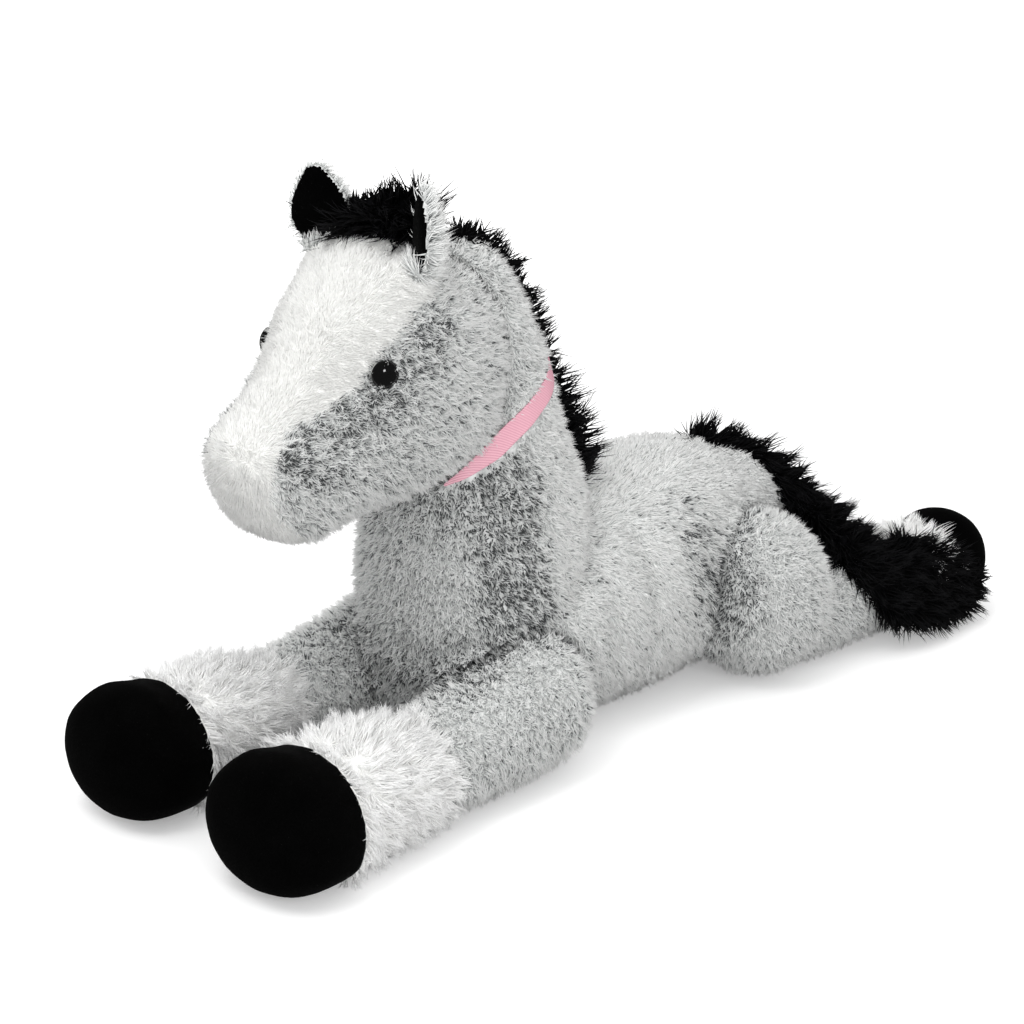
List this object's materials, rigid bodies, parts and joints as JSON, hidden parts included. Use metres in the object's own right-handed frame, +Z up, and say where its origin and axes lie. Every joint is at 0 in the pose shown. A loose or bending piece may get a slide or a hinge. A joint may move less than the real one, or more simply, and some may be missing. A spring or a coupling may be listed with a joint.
{
  "type": "plush horse",
  "caption": "Large stuffed plush horse lying on its belly with legs spread fore and aft, frosted grey pile, white blaze and cuffs, black yarn mane and tail, and a satin collar.",
  "frame": {"origin": "on the floor under the middle of the belly, in the plane between the left and right sides", "axes": "+Z up, +X towards the horse's left, -Y towards its nose"},
  "size_m": [0.305, 0.803, 0.4501],
  "materials": {
    "grey_plush": "long frosted pile",
    "white_plush": "soft pile",
    "black_velvet": "short pile velvet",
    "black_yarn": "cut yarn fringe",
    "pink_ribbon": "satin weave",
    "filling": "loose polyester fibre",
    "eye_plastic": "polished",
    "washer_plastic": "as moulded"
  },
  "bodies": {
    "torso": {"torso_skin": "grey_plush", "torso_filling": "filling", "neck_skin": "grey_plush", "neck_filling": "filling", "collar_ribbon": "pink_ribbon", "mane_fringe": "black_yarn"},
    "foreleg_left": {"foreleg_left_skin": "grey_plush", "foreleg_left_cuff": "white_plush", "foreleg_left_hoof_band": "black_velvet", "foreleg_left_hoof_sole": "black_velvet", "foreleg_left_filling": "filling"},
    "foreleg_right": {"foreleg_right_skin": "grey_plush", "foreleg_right_cuff": "white_plush", "foreleg_right_hoof_band": "black_velvet", "foreleg_right_hoof_sole": "black_velvet", "foreleg_right_filling": "filling"},
    "hindleg_left": {"hindleg_left_skin": "grey_plush", "hindleg_left_cuff": "white_plush", "hindleg_left_hoof_band": "black_velvet", "hindleg_left_hoof_sole": "black_velvet", "hindleg_left_filling": "filling"},
    "hindleg_right": {"hindleg_right_skin": "grey_plush", "hindleg_right_cuff": "white_plush", "hindleg_right_hoof_band": "black_velvet", "hindleg_right_hoof_sole": "black_velvet", "hindleg_right_filling": "filling"},
    "tail": {"tail_fringe": "black_yarn"},
    "head": {"head_cheeks": "grey_plush", "head_blaze": "white_plush", "head_filling": "filling", "forelock_fringe": "black_yarn", "eye_left": "eye_plastic", "eye_left_washer": "washer_plastic", "eye_right": "eye_plastic", "eye_right_washer": "washer_plastic"},
    "ear_left": {"ear_left_back": "grey_plush", "ear_left_lining": "black_velvet"},
    "ear_right": {"ear_right_back": "grey_plush", "ear_right_lining": "black_velvet"}
  },
  "joints": [
    {"name": "neck_seam", "type": "hinge", "parent": "torso", "child": "head", "pos_m": [0, -0.15102, 0.315], "axis": [1, 0, 0], "range_deg": [-10, 8], "stiffness_Nm_per_rad": 6},
    {"name": "ear_left_fold", "type": "hinge", "parent": "head", "child": "ear_left", "pos_m": [0.048, -0.17616, 0.3926], "axis": [0.8229, -0.555, -0.1219], "range_deg": [-15, 25], "stiffness_Nm_per_rad": 0.2},
    {"name": "ear_right_fold", "type": "hinge", "parent": "head", "child": "ear_right", "pos_m": [-0.048, -0.17616, 0.3926], "axis": [0.8229, 0.555, 0.1219], "range_deg": [-15, 25], "stiffness_Nm_per_rad": 0.2},
    {"name": "foreleg_left_seam", "type": "hinge", "parent": "torso", "child": "foreleg_left", "pos_m": [0.07201, -0.09705, 0.0555], "axis": [0, 0, 1], "range_deg": [0, 20], "stiffness_Nm_per_rad": 1},
    {"name": "foreleg_right_seam", "type": "hinge", "parent": "torso", "child": "foreleg_right", "pos_m": [-0.07201, -0.09705, 0.0555], "axis": [0, 0, 1], "range_deg": [-20, 0], "stiffness_Nm_per_rad": 1},
    {"name": "hindleg_left_seam", "type": "hinge", "parent": "torso", "child": "hindleg_left", "pos_m": [0.08058, 0.15905, 0.0705], "axis": [0, 0, 1], "range_deg": [0, 14], "stiffness_Nm_per_rad": 1.5},
    {"name": "hindleg_right_seam", "type": "hinge", "parent": "torso", "child": "hindleg_right", "pos_m": [-0.08058, 0.15905, 0.0705], "axis": [0, 0, 1], "range_deg": [-14, 12], "stiffness_Nm_per_rad": 1.5},
    {"name": "tail_seam", "type": "hinge", "parent": "torso", "child": "tail", "pos_m": [0, 0.1874, 0.16815], "axis": [0.8068, -0.5908, 0], "range_deg": [0, 60]}
  ]
}
